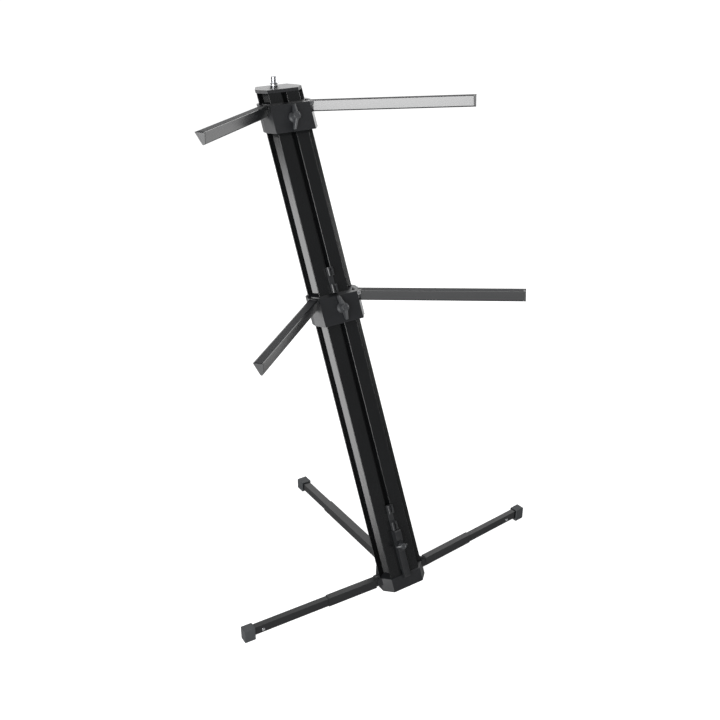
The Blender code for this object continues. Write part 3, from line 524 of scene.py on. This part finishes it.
def stud_collar():
    """The flange and the waisted collar under it: an eased profile turned about the stud's axis."""
    profile = [(POLE, FLANGE_TOP), (FLANGE_R, FLANGE_TOP), (FLANGE_R, FLANGE_TOP - FLANGE_THICK),
               (COLLAR_R, FLANGE_TOP - COLLAR_DOWN), (COLLAR_R - COLLAR_WAIST, FLANGE_TOP / 2),
               (COLLAR_R, LIFT), (POLE, LIFT)]
    return turned(eased(profile, COLLAR_EASE))


ringed("stud_thread", place(stud_thread(), STUD), ["mic_stud"], CHROME, THREAD_SHARP)
ringed("stud_collar", place(stud_collar(), STUD), ["mic_stud"], CHROME)


# ---- Stage


def reference_camera():
    """The camera of the reference view."""
    data = bpy.data.cameras.new("view")
    data.lens = CAMERA_LENS
    data.sensor_width = CAMERA_SENSOR
    camera = bpy.data.objects.new("view", data)
    camera.location = Vector(CAMERA_AT) * MM
    camera.rotation_euler = (math.pi / 2 - CAMERA_DIP, 0.0, -CAMERA_TURN)
    bpy.context.scene.collection.objects.link(camera)
    bpy.context.scene.camera = camera


def area_lamp(name, place_m, aim_m, size, radiance):
    """A soft rectangular lamp aimed at a point; its power follows from the wished radiance."""
    data = bpy.data.lights.new(name, 'AREA')
    data.shape = 'RECTANGLE'
    data.size, data.size_y = size
    data.energy = radiance * math.pi * size[0] * size[1]
    lamp = bpy.data.objects.new(name, data)
    lamp.location = place_m
    lamp.rotation_euler = (Vector(aim_m) - Vector(place_m)).to_track_quat('-Z', 'Y').to_euler()
    bpy.context.scene.collection.objects.link(lamp)
    lamp.visible_camera = False
    return lamp


def white_backdrop():
    """A world that the camera sees as white and that lights the stand softly from all sides."""
    world = bpy.data.worlds.new("studio")
    bpy.context.scene.world = world
    world.use_nodes = True
    air = world.node_tree
    path = add(air, "ShaderNodeLightPath")
    level = add(air, "ShaderNodeMix", {"A": SURROUND, "B": WHITE}, {"Factor": path.outputs["Is Camera Ray"]})
    air.nodes["Background"].inputs["Color"].default_value = (1.0, 1.0, 1.0, 1.0)
    air.links.new(level.outputs["Result"], air.nodes["Background"].inputs["Strength"])


def pale_floor():
    """A level floor that the camera sees glow up to white, so it meets the backdrop unseen.

    It shows no shadow for that reason. A weaker glow, which grows away from the stand, lights it.
    """
    mesh = bpy.data.meshes.new("floor")
    mesh.from_pydata([(-FLOOR_HALF, -FLOOR_HALF, 0), (FLOOR_HALF, -FLOOR_HALF, 0),
                      (FLOOR_HALF, FLOOR_HALF, 0), (-FLOOR_HALF, FLOOR_HALF, 0)], [], [(0, 1, 2, 3)])
    floor = bpy.data.objects.new("floor", mesh)
    floor.location.z = -FLOOR_DROP
    bpy.context.scene.collection.objects.link(floor)
    look = bpy.data.materials.new("white_floor")
    look.use_nodes = True
    ground = look.node_tree
    matt = ground.nodes["Principled BSDF"]
    matt.inputs["Base Color"].default_value = (FLOOR_GREY, FLOOR_GREY, FLOOR_GREY, 1.0)
    matt.inputs["Roughness"].default_value = FLOOR_ROUGHNESS
    spot = add(ground, "ShaderNodeTexCoord").outputs["Object"]
    far = add(ground, "ShaderNodeVectorMath", {}, {0: spot}, operation='LENGTH').outputs["Value"]
    grown = add(ground, "ShaderNodeMapRange",
                {"From Min": GLOW_FROM, "From Max": GLOW_TO, "To Min": GLOW_NEAR, "To Max": GLOW_FAR},
                {"Value": far}, interpolation_type='SMOOTHSTEP')
    seen = add(ground, "ShaderNodeLightPath").outputs["Is Camera Ray"]
    lit = add(ground, "ShaderNodeMix", {"B": WHITE}, {"Factor": seen, "A": grown.outputs["Result"]})
    glow = add(ground, "ShaderNodeEmission", {}, {"Strength": lit.outputs["Result"]})
    both = add(ground, "ShaderNodeAddShader", {}, {0: matt.outputs["BSDF"], 1: glow.outputs["Emission"]})
    ground.links.new(both.outputs["Shader"], ground.nodes["Material Output"].inputs["Surface"])
    mesh.materials.append(look)
    return floor


reference_camera()
bpy.context.scene.view_settings.view_transform = 'Standard'
lamps = {name: area_lamp(name, *values) for name, values in LAMPS.items()}
mirroring = bpy.data.collections.new("upper_right_arm_bar")
mirroring.objects.link(bpy.data.objects["upper_right_arm_tube_skin"])
lamps["arm_card"].light_linking.receiver_collection = mirroring
white_backdrop()
floor = pale_floor()
